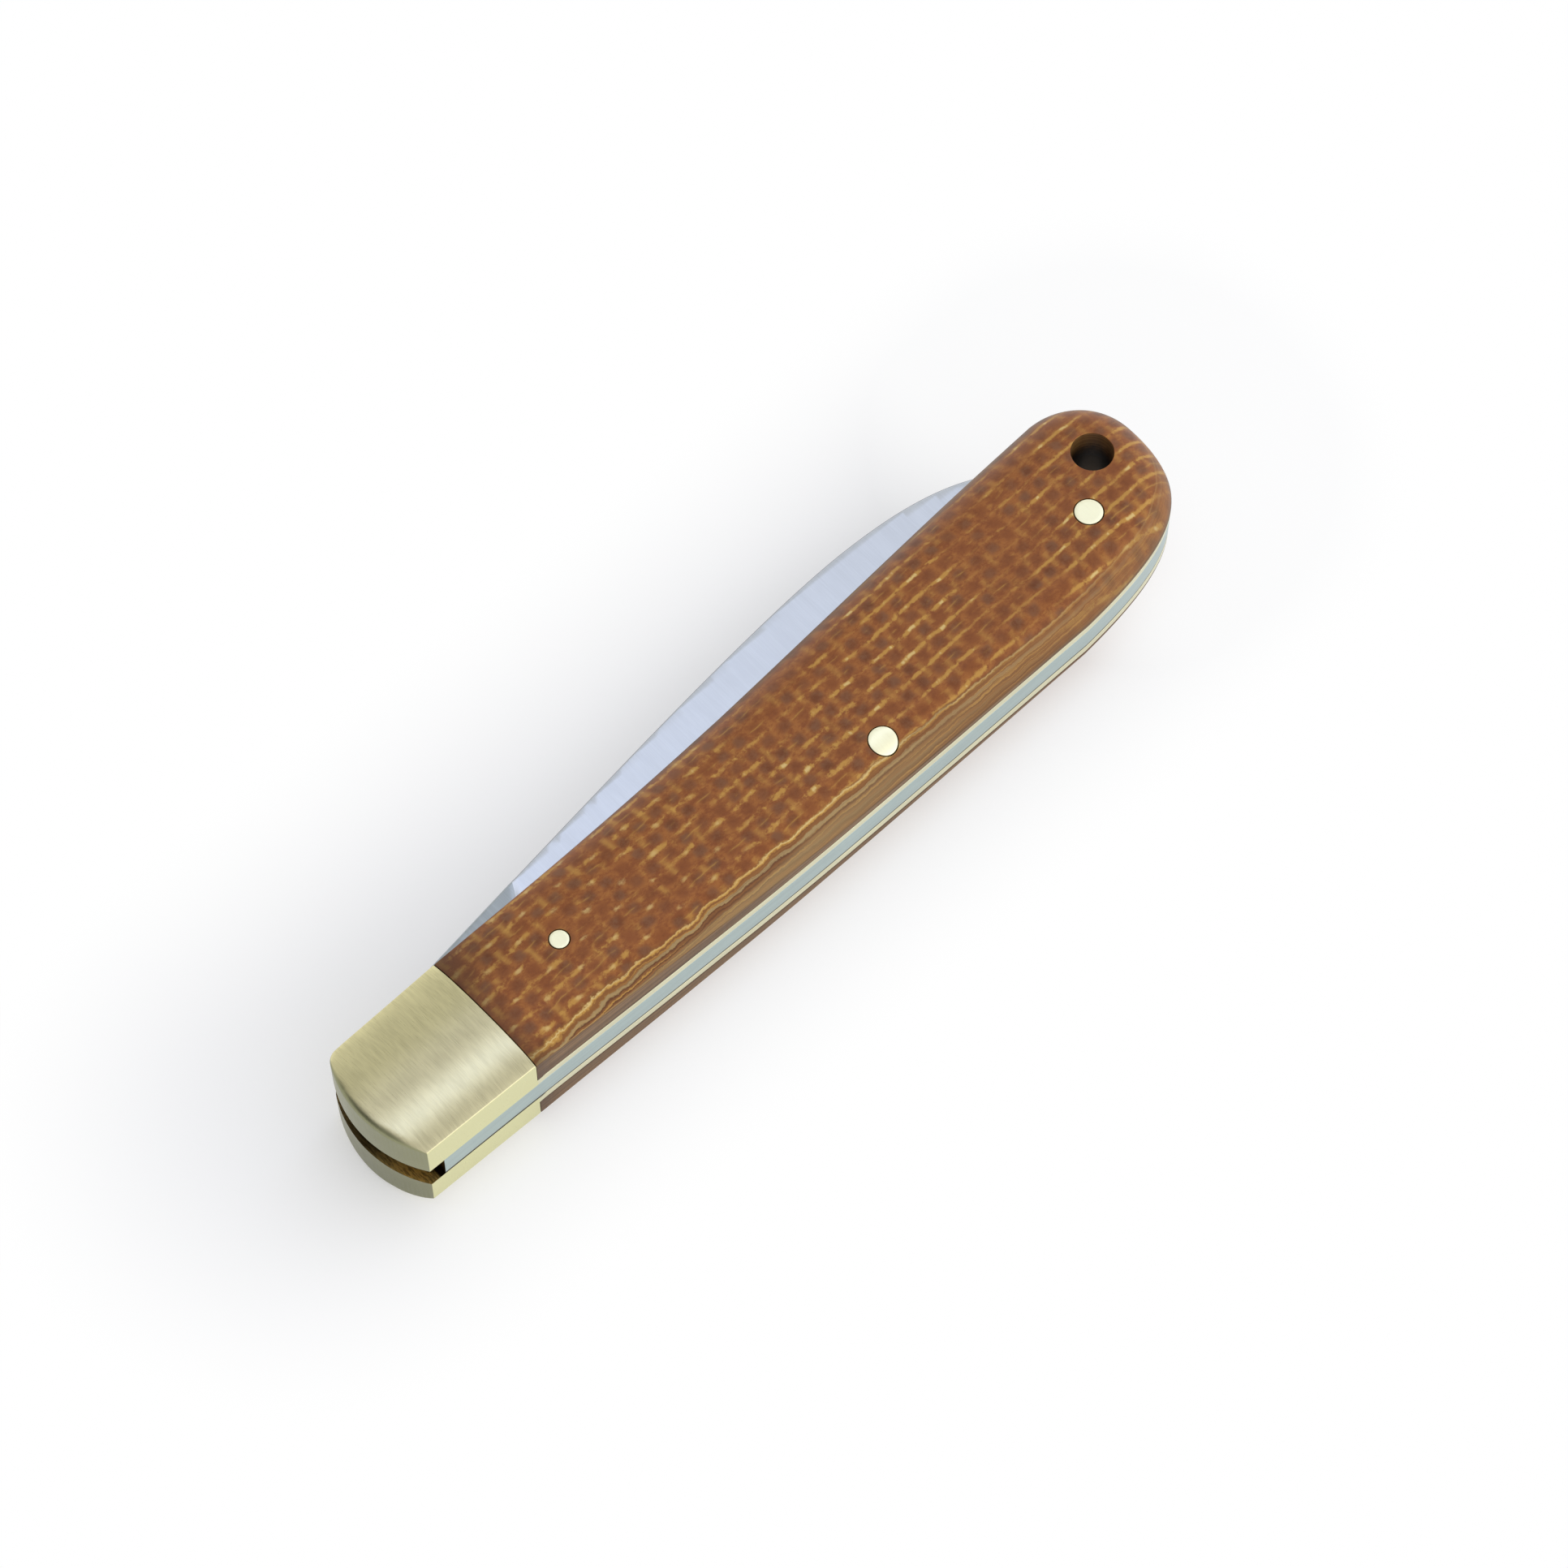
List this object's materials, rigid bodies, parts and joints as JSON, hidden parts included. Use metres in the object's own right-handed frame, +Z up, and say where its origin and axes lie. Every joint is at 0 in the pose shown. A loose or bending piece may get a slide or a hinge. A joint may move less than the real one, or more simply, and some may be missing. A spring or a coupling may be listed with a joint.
{
  "type": "folding pocket knife",
  "caption": "Slip-joint folding pocket knife, closed: brass bolsters and liners, brown laminate scales, one steel blade beside a backspring, lanyard hole at the butt.",
  "frame": {"origin": "middle of the closed knife's bounding box, on the surface that it lies on", "axes": "+X along the handle towards the butt, +Y towards the slot that the blade folds out of, +Z up"},
  "size_m": [0.1112, 0.0248, 0.0134],
  "materials": {
    "scale": "resin-filled woven laminate, satin gloss",
    "bolster": "brushed pale brass",
    "liner": "satin pale brass",
    "spring": "satin",
    "blade": "crosswise satin",
    "pin": "polished flush"
  },
  "bodies": {
    "handle": {"lower_scale": "scale", "upper_scale": "scale", "lower_bolster": "bolster", "upper_bolster": "bolster", "lower_liner": "liner", "upper_liner": "liner", "backspring": "spring", "pivot_pin": "bolster", "middle_spring_pin": "pin", "end_spring_pin": "pin", "upper_scale_pin": "pin", "lower_scale_pin": "pin"},
    "blade": {"blade": "blade"}
  },
  "joints": [
    {"name": "blade_fold", "type": "hinge", "parent": "handle", "child": "blade", "pos_m": [-0.04755, -0.0034, 0.0067], "axis": [0, 0, 1], "range_deg": [0, 180], "deforming": ["backspring"]}
  ]
}
